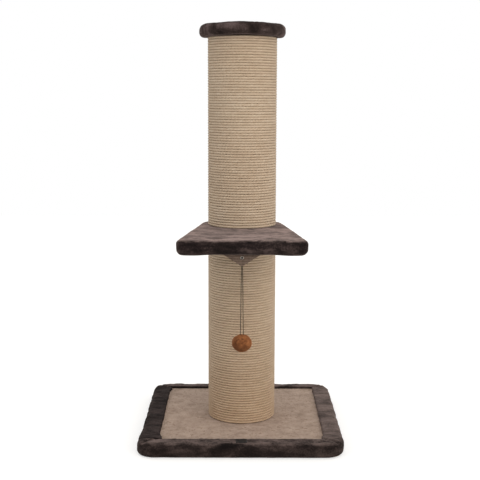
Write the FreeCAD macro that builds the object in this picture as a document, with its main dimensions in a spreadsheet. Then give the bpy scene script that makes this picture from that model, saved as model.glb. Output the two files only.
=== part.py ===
import FreeCAD, Part
import math
import os

import Sketcher

# A cat scratching post: a square base, two rope-wound posts with a plush perch
# between them, a plush cap, and a pompom that hangs under the front of the perch.
# Millimetres. The origin is on the floor, under the middle of the posts.
# +Z is up, and the perch points towards -Y, the front.

SIZES = {
    # base: board, carpet and the plush border wrapped round the edges
    "base_board_side": 446,
    "base_board_thick": 18,
    "base_board_corner": 30,
    "carpet_thick": 7,
    "plush": 6,
    "plush_under": 3,
    "border_front_width": 39,
    "border_back_width": 33,
    "border_side_width": 44,
    "border_round": 11,
    "border_under_round": 10,
    "border_inner_round": 4,
    "hem_width": 12,
    "hem_thick": 1.6,
    "label_width": 24,
    "label_deep": 22,
    "label_thick": 0.8,
    # posts: cardboard tubes, end plugs and the rope round them
    "lower_post": 430,
    "upper_post": 432.5,
    "tube_outer": 148,
    "tube_wall": 5,
    "plug_thick": 18,
    "plug_gap": 0.2,
    "rope_thick": 5.5,
    "rope_seat": 0.2,
    "rope_end_gap": 0.4,
    # bolts, flanged nuts, nails and staples
    "bolt_thick": 8,
    "bolt_play": 0.5,
    "thread_gap": 0.1,
    "bolt_past_nut": 4,
    "bolt_head_across": 13,
    "bolt_head_high": 5.3,
    "recess_spare": 0.7,
    "washer_across": 24,
    "washer_thick": 2,
    "nut_barrel": 10.5,
    "nut_barrel_long": 11,
    "nut_flange": 22,
    "nut_flange_thick": 1.5,
    "nut_gap": 0.1,
    "coach_head_across": 20,
    "coach_head_high": 4.5,
    "nail_thick": 2.4,
    "nail_long": 25,
    "nail_head_across": 5,
    "nail_head_thick": 1.2,
    "nail_gap": 0.05,
    "drill_spare": 1,
    "staple_crown": 10,
    "staple_leg": 9,
    "staple_wide": 1.2,
    "staple_thick": 0.6,
    "staple_step": 75,
    "staple_corner_gap": 25,
    # perch between the posts: a board that widens towards the front
    "platform_front": 252.5,
    "platform_back": 76,
    "platform_front_width": 272,
    "platform_back_width": 170,
    "platform_board_thick": 20,
    "platform_front_corner": 9,
    "platform_back_corner": 50,
    "platform_top_round": 5,
    "platform_under_round": 8,
    # cap on the upper post
    "cap_board_across": 186,
    "cap_board_thick": 16,
    "cap_round": 11,
    "cap_turn_under": 37,
    # toy: cloth tab, eyelet, doubled cord and pompom
    "tab_setback": 26,
    "tab_width": 76,
    "tab_drop": 26.5,
    "tab_tip": 3,
    "tab_thick": 2.4,
    "tab_bead": 3,
    "tab_hem_deep": 8,
    "tab_hem_thick": 1.5,
    "tab_gap": 0.3,
    "tab_hem_gap": 0.5,
    "tab_staple_inset": 14,
    "eyelet_drop": 8,
    "eyelet_bore": 4,
    "eyelet_wall": 0.5,
    "eyelet_flange": 7,
    "eyelet_flange_thick": 0.6,
    "eyelet_gap": 0.05,
    "cord_thick": 1.5,
    "cord_pair_gap": 0.3,
    "cord_behind": 4.3,
    "cord_spread": 6.8,
    "pompom_hang": 187.5,
    "pompom_wide": 43,
    "pompom_high": 38,
    "knot_across": 5,
    "knot_gap": 0.3,
}

# Each post is wound with three lengths of rope, one above another, each with this many loops.
ROPE_LOOPS = 24
ROPE_LENGTHS = 3
SAMPLES_PER_TURN = 90
NAILS_PER_PLUG = 4
# the share of a cord's shorter run that a bend may take up
BEND_SHARE = 0.45

doc = FreeCAD.newDocument("ScratchingPost")
sheet = doc.addObject("Spreadsheet::Sheet", "Sizes")
for row, (alias, number) in enumerate(SIZES.items(), start=1):
    sheet.set(f"A{row}", alias)
    sheet.set(f"B{row}", str(number))
    sheet.setAlias(f"B{row}", alias)
doc.recompute()

# Heights and widths that follow from the driving sizes.
LEVELS = {
    "base_outer": "Sizes.base_board_side + 2 * Sizes.plush",
    "carpet_low": "Sizes.plush_under + Sizes.base_board_thick",
    "deck": "Levels.carpet_low + Sizes.carpet_thick",
    "border_top": "Levels.deck + Sizes.plush",
    "platform_low": "Levels.deck + Sizes.lower_post",
    "platform_board_low": "Levels.platform_low + Sizes.plush",
    "platform_top": "Levels.platform_board_low + Sizes.platform_board_thick + Sizes.plush",
    "cap_low": "Levels.platform_top + Sizes.upper_post",
    "cap_board_low": "Levels.cap_low + Sizes.plush",
    "cap_board_top": "Levels.cap_board_low + Sizes.cap_board_thick",
    "cap_top": "Levels.cap_board_top + Sizes.plush",
    "cap_outer": "Sizes.cap_board_across / 2 + Sizes.plush",
    "tube_inner": "Sizes.tube_outer / 2 - Sizes.tube_wall",
    "hole": "Sizes.bolt_thick / 2 + Sizes.bolt_play",
    "recess": "Sizes.washer_thick + Sizes.bolt_head_high + Sizes.recess_spare",
    "recess_top": "Sizes.plush_under + Levels.recess",
    "nut_bore": "Sizes.bolt_thick / 2 + Sizes.thread_gap",
    "nut_seat": "Sizes.nut_barrel / 2 + Sizes.nut_gap",
    "past_plug": "Sizes.plug_thick + Sizes.nut_flange_thick + Sizes.bolt_past_nut",
    # the slanting sides of the perch, and the cover's outline one plush thickness outside
    "side_slope": "(Sizes.platform_front_width - Sizes.platform_back_width) / 2"
    " / (Sizes.platform_front + Sizes.platform_back)",
    "side_out": "Sizes.plush * (sqrt(1 + Levels.side_slope ^ 2) + Levels.side_slope)",
    "side_in": "Sizes.plush * (sqrt(1 + Levels.side_slope ^ 2) - Levels.side_slope)",
    "cover_front": "Sizes.platform_front + Sizes.plush",
    "cover_back": "Sizes.platform_back + Sizes.plush",
    "cover_front_half": "Sizes.platform_front_width / 2 + Levels.side_out",
    "cover_back_half": "Sizes.platform_back_width / 2 + Levels.side_in",
    # the tab hangs behind the front edge of the perch, its bead just under the cover
    "tab_front": "Levels.cover_front - Sizes.tab_setback",
    "tab_axis": "Levels.platform_low - Sizes.tab_gap - Sizes.tab_bead / 2",
    "tab_low": "Levels.platform_low - Sizes.tab_drop",
    "eyelet_axis": "Levels.platform_low - Sizes.eyelet_drop",
    "eyelet_long": "Sizes.tab_thick + 2 * Sizes.eyelet_flange_thick + 2 * Sizes.eyelet_gap",
    "hem_front": "Levels.tab_front - Sizes.tab_bead / 2 - Sizes.tab_hem_gap",
    "toy_front": "Levels.tab_front - Sizes.cord_behind",
    "pompom_mid": "Levels.eyelet_axis - Sizes.pompom_hang",
    "knot_front": "Levels.tab_front + Levels.eyelet_long / 2 + Sizes.knot_gap + Sizes.knot_across / 2",
}
levels = doc.addObject("App::VarSet", "Levels")
for name, text in LEVELS.items():
    levels.addProperty("App::PropertyFloat", name)
    levels.setExpression(name, text)
doc.recompute()

nodes = []


def size(name):
    """A driving size, read from the sheet."""
    return float(sheet.get(name))


def bind(thing, **expressions):
    """Bind properties of an object to the sizes."""
    for path, text in expressions.items():
        thing.setExpression(path.replace("__", "."), text)


def keep(thing, name):
    """Make an object a sub-part of its own, with its own name."""
    thing.Label = name
    nodes.append(thing)
    return thing


# Sketches

def plane_of(body, role):
    return next(feature for feature in body.Origin.OriginFeatures if feature.Role == role)


def sketch_on(body, name, role, lift=None):
    """A sketch on one of the body's own planes, lifted along the plane's normal."""
    sketch = body.newObject("Sketcher::SketchObject", name)
    sketch.AttachmentSupport = [(plane_of(body, role), "")]
    sketch.MapMode = "FlatFace"
    if lift:
        bind(sketch, AttachmentOffset__Base__z=lift)
    return sketch


def pin_axis(sketch, kind, geometry, point, text, label):
    """Hold one coordinate of a sketch point at a size, on either side of the origin."""
    if text == "0":
        axis = -2 if kind == "DistanceX" else -1
        sketch.addConstraint(Sketcher.Constraint("PointOnObject", geometry, point, axis))
        return
    if text.startswith("-"):
        ends = (geometry, point, -1, 1)
    else:
        ends = (-1, 1, geometry, point)
    index = sketch.addConstraint(Sketcher.Constraint(kind, *ends, 1.0))
    sketch.renameConstraint(index, label)
    sketch.setExpression(f"Constraints.{label}", text.lstrip("-"))


def outline(sketch, corners):
    """A closed outline with straight sides, each corner held at its own sizes."""
    count = len(corners)
    ring = []
    for index in range(count):
        angle = 2 * math.pi * index / count
        ring.append(FreeCAD.Vector(100 * math.cos(angle), 100 * math.sin(angle), 0))
    for index in range(count):
        sketch.addGeometry(Part.LineSegment(ring[index], ring[(index + 1) % count]))
    for index in range(count):
        following = (index + 1) % count
        sketch.addConstraint(Sketcher.Constraint("Coincident", index, 2, following, 1))
    for index, (across, up) in enumerate(corners):
        pin_axis(sketch, "DistanceX", index, 1, across, f"across{index}")
        pin_axis(sketch, "DistanceY", index, 1, up, f"up{index}")
    return sketch


def circle(sketch, radius, across="0", up="0"):
    """A circle with its centre and radius held at their sizes."""
    index = sketch.addGeometry(Part.Circle(FreeCAD.Vector(1, 1, 0), FreeCAD.Vector(0, 0, 1), 1))
    pin_axis(sketch, "DistanceX", index, 3, across, f"across{index}")
    pin_axis(sketch, "DistanceY", index, 3, up, f"up{index}")
    held = sketch.addConstraint(Sketcher.Constraint("Radius", index, 1.0))
    sketch.renameConstraint(held, f"radius{index}")
    sketch.setExpression(f"Constraints.radius{index}", radius)
    return sketch


# Features of a body

def new_body(name):
    return doc.addObject("PartDesign::Body", f"{name}_body")


def pad(body, sketch, length, both_ways=False):
    feature = body.newObject("PartDesign::Pad", "Pad")
    feature.Profile = sketch
    bind(feature, Length=length)
    if both_ways:
        feature.SideType = "Symmetric"
    doc.recompute()
    return feature


def pocket(body, sketch, length=None, upwards=False):
    """Cut a sketch downwards, upwards or right through, and make sure that it cut."""
    before = body.Shape.Volume
    feature = body.newObject("PartDesign::Pocket", "Pocket")
    feature.Profile = sketch
    feature.Reversed = upwards
    if length:
        bind(feature, Length=length)
    else:
        feature.Type = "ThroughAll"
        feature.SideType = "Symmetric"
    doc.recompute()
    if body.Shape.Volume > before - 0.01:
        raise RuntimeError(f"{body.Name}: {sketch.Name} cuts nothing")
    return feature


def revolve(body, sketch):
    feature = body.newObject("PartDesign::Revolution", "Revolution")
    feature.Profile = sketch
    feature.ReferenceAxis = (sketch, ["V_Axis"])
    feature.Angle = 360
    doc.recompute()
    return feature


def fillet(body, edges, radius):
    """Round the edges of the body's last feature that a test picks."""
    base = body.Tip
    names = [f"Edge{number}" for number, edge in enumerate(base.Shape.Edges, start=1) if edges(edge)]
    feature = body.newObject("PartDesign::Fillet", "Fillet")
    feature.Base = (base, names)
    bind(feature, Radius=radius)
    doc.recompute()
    return feature


def upright(edge):
    box = edge.BoundBox
    return box.XLength + box.YLength < 1e-6


def level_at(height):
    """A test for the edges that lie flat at one height."""
    return lambda edge: edge.BoundBox.ZLength < 1e-6 and abs(edge.BoundBox.ZMin - height) < 1e-6


def turned(name, profile):
    """A body turned about its Z axis from a closed profile of radius and height."""
    body = new_body(name)
    revolve(body, outline(sketch_on(body, f"{name}_profile", "XZ_Plane"), profile))
    return body


def ring_profile(inner, outer, low, high):
    return [(inner, low), (outer, low), (outer, high), (inner, high)]


def drill_round(body, name, start, depth, radius, heights):
    """Radial holes in rows at the given heights, evenly spaced round the axis."""
    sketch = sketch_on(body, f"{name}_drill", "XZ_Plane", start)
    for height in heights:
        circle(sketch, radius, "0", height)
    cut = pocket(body, sketch, depth, upwards=True)
    pattern = body.newObject("PartDesign::PolarPattern", "Pattern")
    pattern.Originals = [cut]
    pattern.Axis = (plane_of(body, "Z_Axis"), [""])
    pattern.Angle = 360
    pattern.Occurrences = NAILS_PER_PLUG
    body.Tip = pattern
    doc.recompute()


# Booleans of whole objects

def combined(kind, base, tool, name):
    thing = doc.addObject(kind, name)
    thing.Base = base
    thing.Tool = tool
    return thing


def cylinder(name, radius, height, **place):
    thing = doc.addObject("Part::Cylinder", name)
    bind(thing, Radius=radius, Height=height, **place)
    return thing


def box(name, length, width, height, x, y, z):
    thing = doc.addObject("Part::Box", name)
    bind(thing, Length=length, Width=width, Height=height)
    bind(thing, Placement__Base__x=x, Placement__Base__y=y, Placement__Base__z=z)
    return thing


def group(name, shapes):
    """Several equal fasteners as one sub-part."""
    thing = doc.addObject("Part::Feature", name)
    thing.Shape = Part.makeCompound(shapes)
    return keep(thing, name)


# Base

half_board = "Sizes.base_board_side / 2"
square = [
    (half_board, half_board),
    ("-" + half_board, half_board),
    ("-" + half_board, "-" + half_board),
    (half_board, "-" + half_board),
]


def base_sheet(name, low, thick):
    body = new_body(name)
    pad(body, outline(sketch_on(body, f"{name}_outline", "XY_Plane", low), square), thick)
    fillet(body, upright, "Sizes.base_board_corner")
    pocket(body, circle(sketch_on(body, f"{name}_hole", "XY_Plane", low), "Levels.hole"))
    return body


base_board = base_sheet("base_board", "Sizes.plush_under", "Sizes.base_board_thick")
recess = sketch_on(base_board, "base_board_recess", "XY_Plane", "Sizes.plush_under")
circle(recess, "Sizes.washer_across / 2 + Sizes.bolt_play")
pocket(base_board, recess, "Levels.recess", upwards=True)
keep(base_board, "base_board")

base_carpet = base_sheet("base_carpet", "Levels.carpet_low", "Sizes.carpet_thick")
keep(base_carpet, "base_carpet")

# The border is one roll of plush round the edge, hollowed by the board and the carpet,
# and cut into four strips. The front and back strips keep the corners.
border = new_body("border")
half_outer = "Levels.base_outer / 2"
front_window = "(Levels.base_outer / 2 - Sizes.border_front_width)"
back_window = "(Levels.base_outer / 2 - Sizes.border_back_width)"
side_window = "(Levels.base_outer / 2 - Sizes.border_side_width)"


def border_outline(name, front, back, side, lift=None):
    return outline(
        sketch_on(border, name, "XY_Plane", lift),
        [(side, back), ("-" + side, back), ("-" + side, "-" + front), (side, "-" + front)],
    )


pad(border, border_outline("border_edge", half_outer, half_outer, half_outer), "Levels.border_top")
fillet(border, upright, "Sizes.base_board_corner + Sizes.plush")
fillet(border, level_at(levels.border_top), "Sizes.border_round")
fillet(border, level_at(0), "Sizes.border_under_round")
pocket(
    border,
    border_outline("border_window", front_window, back_window, side_window, "Levels.border_top"),
)


def window_edge(side):
    """How far from the middle a strip's inner edge lies."""
    return levels.base_outer / 2 - size(f"border_{side}_width")


def window_rim(edge):
    middle = edge.BoundBox.Center
    misses = [
        middle.y + window_edge("front"),
        middle.y - window_edge("back"),
        abs(middle.x) - window_edge("side"),
    ]
    return level_at(levels.border_top)(edge) and min(abs(miss) for miss in misses) < 1e-6


fillet(border, window_rim, "Sizes.border_inner_round")
hem_edges = [f"({window} + Sizes.hem_width)" for window in (front_window, back_window, side_window)]
pocket(
    border,
    border_outline("border_hem", *hem_edges),
    "Sizes.plush_under - Sizes.hem_thick",
    upwards=True,
)
hollow = combined("Part::Cut", border, base_board, "border_over_board")
hollow = combined("Part::Cut", hollow, base_carpet, "border_over_carpet")
side_long = "Levels.base_outer - Sizes.border_front_width - Sizes.border_back_width"
strips = {
    "border_front": ("Levels.base_outer", "Sizes.border_front_width", "-" + half_outer, "-" + half_outer),
    "border_back": ("Levels.base_outer", "Sizes.border_back_width", "-" + half_outer, back_window),
    "border_left": ("Sizes.border_side_width", side_long, "-" + half_outer, "-" + front_window),
    "border_right": ("Sizes.border_side_width", side_long, side_window, "-" + front_window),
}
for name, (length, width, x, y) in strips.items():
    room = box(f"{name}_room", length, width, "Levels.border_top", x, y, "0")
    keep(combined("Part::Common", hollow, room, name), name)

# The label is sewn flat on the front strip, up to where the strip rolls over.
base_label = box(
    "base_label",
    "Sizes.label_width",
    "Sizes.label_deep",
    "Sizes.label_thick",
    "-Sizes.label_width / 2",
    "-(Levels.base_outer / 2 - Sizes.border_round)",
    "Levels.border_top",
)
keep(base_label, "base_label")

# The bolt's head and washer sit inside the recess under the board.
washer_low = "Levels.recess_top - Sizes.washer_thick"
base_washer = turned(
    "base_washer",
    ring_profile("Levels.hole", "Sizes.washer_across / 2", washer_low, "Levels.recess_top"),
)
keep(base_washer, "base_washer")
head = doc.addObject("Part::Prism", "base_bolt_head")
head.Polygon = 6
bind(
    head,
    Circumradius="Sizes.bolt_head_across / sqrt(3)",
    Height="Sizes.bolt_head_high",
    Placement__Base__z=f"{washer_low} - Sizes.bolt_head_high",
)
shank = cylinder(
    "base_bolt_shank",
    "Sizes.bolt_thick / 2",
    f"Levels.deck + Levels.past_plug - ({washer_low})",
    Placement__Base__z=washer_low,
)
keep(combined("Part::Fuse", head, shank, "base_bolt"), "base_bolt")


# Posts

def plug(name, low, nut_above):
    """A disc in the end of a tube, with a seat for its nut and holes for the nails."""
    high = f"{low} + Sizes.plug_thick"
    outer = "Levels.tube_inner - Sizes.plug_gap"
    if nut_above:
        step = f"{high} - Sizes.nut_barrel_long"
        bores = [("Levels.nut_seat", high), ("Levels.nut_seat", step)]
        bores += [("Levels.hole", step), ("Levels.hole", low)]
        profile = [(outer, low), (outer, high)] + bores
    else:
        step = f"{low} + Sizes.nut_barrel_long"
        bores = [("Levels.nut_seat", low), ("Levels.nut_seat", step)]
        bores += [("Levels.hole", step), ("Levels.hole", high)]
        profile = [(outer, high), (outer, low)] + bores
    body = turned(name, profile)
    drill_round(
        body,
        name,
        "Sizes.tube_outer / 2 - Sizes.nail_long - Sizes.nail_gap",
        "Sizes.nail_long",
        "Sizes.nail_thick / 2 + Sizes.nail_gap",
        [f"{low} + Sizes.plug_thick / 2"],
    )
    return keep(body, name)


def flanged_nut(name, plug_low, nut_above):
    """A nut driven into the inner face of a plug, its flange against that face."""
    barrel = "Sizes.nut_barrel / 2"
    flange = "Sizes.nut_flange / 2"
    if nut_above:
        face = f"{plug_low} + Sizes.plug_thick"
        barrel_end = f"{face} - Sizes.nut_barrel_long"
        flange_end = f"{face} + Sizes.nut_flange_thick"
    else:
        face = plug_low
        barrel_end = f"{face} + Sizes.nut_barrel_long"
        flange_end = f"{face} - Sizes.nut_flange_thick"
    profile = [("Levels.nut_bore", barrel_end), (barrel, barrel_end), (barrel, face)]
    profile += [(flange, face), (flange, flange_end), ("Levels.nut_bore", flange_end)]
    return keep(turned(name, profile), name)


def nails(name, heights):
    """Nails through the tube into the plugs, heads flush with the outside of the tube."""
    outside = size("tube_outer") / 2
    shapes = []
    for height in heights:
        for index in range(NAILS_PER_PLUG):
            angle = -90 + 360 * index / NAILS_PER_PLUG
            way = FreeCAD.Rotation(FreeCAD.Vector(0, 0, 1), angle).multVec(FreeCAD.Vector(1, 0, 0))
            tip = way * (outside - size("nail_long")) + FreeCAD.Vector(0, 0, height)
            head_low = size("nail_long") - size("nail_head_thick")
            body = Part.makeCylinder(size("nail_thick") / 2, head_low, tip, way)
            top = Part.makeCylinder(
                size("nail_head_across") / 2, size("nail_head_thick"), tip + way * head_low, way
            )
            shapes.append(body.fuse(top).removeSplitter())
    return group(name, shapes)


def arc_from(start, tangent, end):
    """The arc that leaves start along tangent and reaches end."""
    chord = end - start
    half_turn = chord.getAngle(tangent)
    corner = start + tangent * (chord.Length / 2 / math.cos(half_turn))
    weight = math.cos(half_turn)
    middle = ((start + end) * 0.5 + corner * weight) * (1 / (1 + weight))
    return Part.Arc(start, middle, end).toShape()


def biarc(start, leaving, end, arriving):
    """Two arcs that join two points along the given directions."""
    across = end - start
    both = leaving + arriving
    bend = 2 * (1 - leaving.dot(arriving))
    along = across.dot(both)
    reach = (math.sqrt(along * along + bend * across.dot(across)) - along) / bend
    joint = (start + end + (leaving - arriving) * reach) * 0.5
    meet = (joint - (start + leaving * reach)).normalize()
    return [arc_from(start, leaving, joint), arc_from(joint, meet, end)]


def tube_along(path, start, tangent, radius, length):
    """A round tube along a path, with its volume compared with its section and length."""
    section = Part.Wire(Part.Circle(start, tangent, radius).toShape())
    tube = path.makePipeShell([section], True, False)
    expected = math.pi * radius * radius * length
    if abs(tube.Volume / expected - 1) > 0.02:
        raise RuntimeError(f"tube of {tube.Volume:.0f} mm3 where {expected:.0f} was expected")
    return tube


def winding(name, low, high):
    """Rope round a tube, in lengths that climb clockwise seen from above and meet at the back."""
    thick = size("rope_thick")
    radius = size("tube_outer") / 2 + size("rope_seat") + thick / 2
    around = 2 * math.pi * radius
    first = low + size("rope_end_gap") + thick / 2
    last = high - size("rope_end_gap") - thick / 2
    pitch = (last - first) / (ROPE_LENGTHS * ROPE_LOOPS)
    along = FreeCAD.Vector(0, -around, pitch).normalize()

    def place(turn):
        angle = math.pi / 2 - 2 * math.pi * turn
        point = FreeCAD.Vector(radius * math.cos(angle), radius * math.sin(angle), first + pitch * turn)
        turn_round = FreeCAD.Rotation(FreeCAD.Vector(0, 0, 1), math.degrees(angle))
        return point, turn_round.multVec(along)

    # each end of a length runs straight for one rope thickness, up to the next length's end
    end_turn = (thick + size("rope_end_gap") / 2) / around
    half_turn = (ROPE_LOOPS - 2 * end_turn) / (2 * ROPE_LOOPS)
    lengths = []
    for index in range(ROPE_LENGTHS):
        begin = index * ROPE_LOOPS + end_turn
        point, tangent = place(begin)
        start, setting_out = point - tangent * thick, tangent
        edges = [Part.LineSegment(start, point).toShape()]
        for half in range(2 * ROPE_LOOPS):
            following, leaving = place(begin + (half + 1) * half_turn)
            edges += biarc(point, tangent, following, leaving)
            point, tangent = following, leaving
        edges.append(Part.LineSegment(point, point + tangent * thick).toShape())
        path = Part.Wire(edges)
        lengths.append(tube_along(path, start, setting_out, thick / 2, path.Length))

    # the least distance from one turn to the next, half a turn to a turn and a half further on
    least = around
    for step in range(SAMPLES_PER_TURN):
        turn = 1 + step / SAMPLES_PER_TURN
        here = place(turn)[0]
        for ahead in range(SAMPLES_PER_TURN):
            beside = place(turn + 0.5 + ahead / SAMPLES_PER_TURN)[0]
            least = min(least, here.distanceToPoint(beside))
    print(f"{name}: {ROPE_LENGTHS} lengths of {ROPE_LOOPS} loops, least gap {least - thick:.2f} mm")
    return group(name, lengths)


def post(side, low, high):
    """One post: tube, plugs, nuts, nails and rope between two heights."""
    low_text, high_text = f"Levels.{low}", f"Levels.{high}"
    head_low = f"({high_text} - Sizes.plug_thick)"
    tube = turned(
        f"{side}_tube",
        ring_profile("Levels.tube_inner", "Sizes.tube_outer / 2", low_text, high_text),
    )
    rows = [f"{low_text} + Sizes.plug_thick / 2", f"{high_text} - Sizes.plug_thick / 2"]
    shank_hole = "Sizes.nail_thick / 2 + Sizes.nail_gap"
    head_hole = "Sizes.nail_head_across / 2 + Sizes.nail_gap"
    head_start = "Sizes.tube_outer / 2 - Sizes.nail_head_thick - Sizes.nail_gap"
    shank_start = "Levels.tube_inner - Sizes.drill_spare"
    shank_depth = "Sizes.tube_wall + 2 * Sizes.drill_spare"
    head_depth = "Sizes.nail_head_thick + Sizes.drill_spare"
    drill_round(tube, f"{side}_shank", shank_start, shank_depth, shank_hole, rows)
    drill_round(tube, f"{side}_head", head_start, head_depth, head_hole, rows)
    keep(tube, f"{side}_tube")
    plug(f"{side}_foot_plug", low_text, nut_above=True)
    plug(f"{side}_head_plug", head_low, nut_above=False)
    flanged_nut(f"{side}_foot_tnut", low_text, nut_above=True)
    flanged_nut(f"{side}_head_tnut", head_low, nut_above=False)
    bottom = getattr(levels, low)
    top = getattr(levels, high)
    nails(f"{side}_nails", [bottom + size("plug_thick") / 2, top - size("plug_thick") / 2])
    winding(f"{side}_rope", bottom, top)


post("lower", "deck", "platform_low")
post("upper", "platform_top", "cap_low")


# Perch

def tongue(front, back, front_half, back_half):
    return [
        (front_half, "-" + front),
        (back_half, back),
        ("-" + back_half, back),
        ("-" + front_half, "-" + front),
    ]


def upright_in_front(edge):
    return upright(edge) and edge.BoundBox.Center.y < 0


def upright_behind(edge):
    return upright(edge) and edge.BoundBox.Center.y > 0


def perch_block(name, corners, low, thick, spare):
    """A tongue with small corners in front and large ones behind."""
    body = new_body(name)
    pad(body, outline(sketch_on(body, f"{name}_outline", "XY_Plane", low), corners), thick)
    fillet(body, upright_in_front, f"Sizes.platform_front_corner + {spare}")
    fillet(body, upright_behind, f"Sizes.platform_back_corner + {spare}")
    return body


def stud_hole(body, name, low):
    pocket(body, circle(sketch_on(body, f"{name}_hole", "XY_Plane", low), "Levels.hole"))


board_corners = tongue(
    "Sizes.platform_front",
    "Sizes.platform_back",
    "Sizes.platform_front_width / 2",
    "Sizes.platform_back_width / 2",
)
platform_board = perch_block(
    "platform_board",
    board_corners,
    "Levels.platform_board_low",
    "Sizes.platform_board_thick",
    "0",
)
stud_hole(platform_board, "platform_board", "Levels.platform_board_low")
keep(platform_board, "platform_board")

cover_corners = tongue(
    "Levels.cover_front", "Levels.cover_back", "Levels.cover_front_half", "Levels.cover_back_half"
)
cover = perch_block(
    "cover",
    cover_corners,
    "Levels.platform_low",
    "Levels.platform_top - Levels.platform_low",
    "Sizes.plush",
)
fillet(cover, level_at(levels.platform_top), "Sizes.platform_top_round")
fillet(cover, level_at(levels.platform_low), "Sizes.platform_under_round")
stud_hole(cover, "cover", "Levels.platform_low")
keep(combined("Part::Cut", cover, platform_board, "platform_cover"), "platform_cover")

stud = cylinder(
    "platform_stud",
    "Sizes.bolt_thick / 2",
    "Levels.platform_top - Levels.platform_low + 2 * Levels.past_plug",
    Placement__Base__z="Levels.platform_low - Levels.past_plug",
)
keep(stud, "platform_stud")

# Cap

cap_board = turned(
    "cap_board",
    [
        ("Levels.hole", "Levels.cap_board_low"),
        ("Sizes.cap_board_across / 2", "Levels.cap_board_low"),
        ("Sizes.cap_board_across / 2", "Levels.cap_board_top"),
        ("Sizes.coach_head_across / 2 + Sizes.nut_gap", "Levels.cap_board_top"),
        ("Sizes.coach_head_across / 2 + Sizes.nut_gap", "Levels.cap_board_top - Sizes.coach_head_high"),
        ("Levels.hole", "Levels.cap_board_top - Sizes.coach_head_high"),
    ],
)
keep(cap_board, "cap_board")

cap_cover = turned(
    "cap_cover",
    [
        ("0", "Levels.cap_board_top"),
        ("Sizes.cap_board_across / 2", "Levels.cap_board_top"),
        ("Sizes.cap_board_across / 2", "Levels.cap_board_low"),
        ("Levels.cap_outer - Sizes.cap_turn_under", "Levels.cap_board_low"),
        ("Levels.cap_outer - Sizes.cap_turn_under", "Levels.cap_low"),
        ("Levels.cap_outer", "Levels.cap_low"),
        ("Levels.cap_outer", "Levels.cap_top"),
        ("0", "Levels.cap_top"),
    ],
)


def cap_rim(edge):
    return abs(edge.BoundBox.XMax - levels.cap_outer) < 1e-6 and edge.BoundBox.ZLength < 1e-6


fillet(cap_cover, cap_rim, "Sizes.cap_round")
keep(cap_cover, "cap_cover")

coach_low = "Levels.cap_low - Levels.past_plug"
cap_bolt = turned(
    "cap_bolt",
    [
        ("0", coach_low),
        ("Sizes.bolt_thick / 2", coach_low),
        ("Sizes.bolt_thick / 2", "Levels.cap_board_top - Sizes.coach_head_high"),
        ("Sizes.coach_head_across / 2", "Levels.cap_board_top - Sizes.coach_head_high"),
        ("Sizes.coach_head_across / 2", "Levels.cap_board_top"),
        ("0", "Levels.cap_board_top"),
    ],
)
keep(cap_bolt, "cap_bolt")


# Staples

def staple(crown_middle, along, inwards):
    """A staple with its crown on the cloth and its legs driven in."""
    side = along.cross(inwards)
    wide, thick = size("staple_wide"), size("staple_thick")
    reach = size("staple_crown") / 2
    frame = FreeCAD.Matrix(
        along.x, side.x, inwards.x, crown_middle.x,
        along.y, side.y, inwards.y, crown_middle.y,
        along.z, side.z, inwards.z, crown_middle.z,
    )
    shape = Part.makeBox(2 * reach, wide, thick, FreeCAD.Vector(-reach, -wide / 2, -thick))
    for x in (-reach, reach - wide):
        leg = Part.makeBox(wide, wide, size("staple_leg") + thick, FreeCAD.Vector(x, -wide / 2, -thick))
        shape = shape.fuse(leg)
    return shape.removeSplitter().transformGeometry(frame)


up = FreeCAD.Vector(0, 0, 1)
# a row under each strip's hem: front, right, back and left
hem_middles = [window_edge(side) + size("hem_width") / 2 for side in ("front", "side", "back", "side")]
per_side = 2 * int((min(hem_middles) - size("staple_corner_gap")) / size("staple_step")) + 1
shapes = []
for side, hem_middle in enumerate(hem_middles):
    turn = FreeCAD.Rotation(up, 90 * side)
    for index in range(per_side):
        x = (index - (per_side - 1) / 2) * size("staple_step")
        crown = FreeCAD.Vector(x, -hem_middle, size("plush_under") - size("hem_thick"))
        shapes.append(staple(turn.multVec(crown), turn.multVec(FreeCAD.Vector(1, 0, 0)), up))
group("border_staples", shapes)

# Toy

tab_hem = box(
    "tab_hem",
    "Sizes.tab_width",
    "Sizes.tab_hem_deep",
    "Sizes.tab_hem_thick",
    "-Sizes.tab_width / 2",
    "-Levels.hem_front",
    "Levels.platform_low - Sizes.tab_hem_thick",
)
keep(tab_hem, "tab_hem")
shapes = []
for x in (-1, 0, 1):
    crown = FreeCAD.Vector(
        x * (size("tab_width") / 2 - size("tab_staple_inset")),
        -levels.hem_front + size("tab_hem_deep") / 2,
        levels.platform_low - size("tab_hem_thick"),
    )
    shapes.append(staple(crown, FreeCAD.Vector(1, 0, 0), up))
group("tab_staples", shapes)

tab = new_body("tab")
tab_shape = outline(
    sketch_on(tab, "tab_outline", "XZ_Plane", "Levels.tab_front"),
    [
        ("Sizes.tab_width / 2", "Levels.tab_axis"),
        ("-Sizes.tab_width / 2", "Levels.tab_axis"),
        ("-Sizes.tab_tip / 2", "Levels.tab_low"),
        ("Sizes.tab_tip / 2", "Levels.tab_low"),
    ],
)
pad(tab, tab_shape, "Sizes.tab_thick", both_ways=True)
bore = sketch_on(tab, "tab_bore", "XZ_Plane", "Levels.tab_front")
circle(bore, "Sizes.eyelet_bore / 2 + Sizes.eyelet_wall + Sizes.eyelet_gap", "0", "Levels.eyelet_axis")
pocket(tab, bore)
bead = cylinder("tab_bead_roll", "Sizes.tab_bead / 2", "Sizes.tab_width")
bead.Placement.Rotation = FreeCAD.Rotation(FreeCAD.Vector(0, 1, 0), 90)
bind(
    bead,
    Placement__Base__x="-Sizes.tab_width / 2",
    Placement__Base__y="-Levels.tab_front",
    Placement__Base__z="Levels.tab_axis",
)
keep(combined("Part::Fuse", tab, bead, "toy_tab"), "toy_tab")

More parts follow.
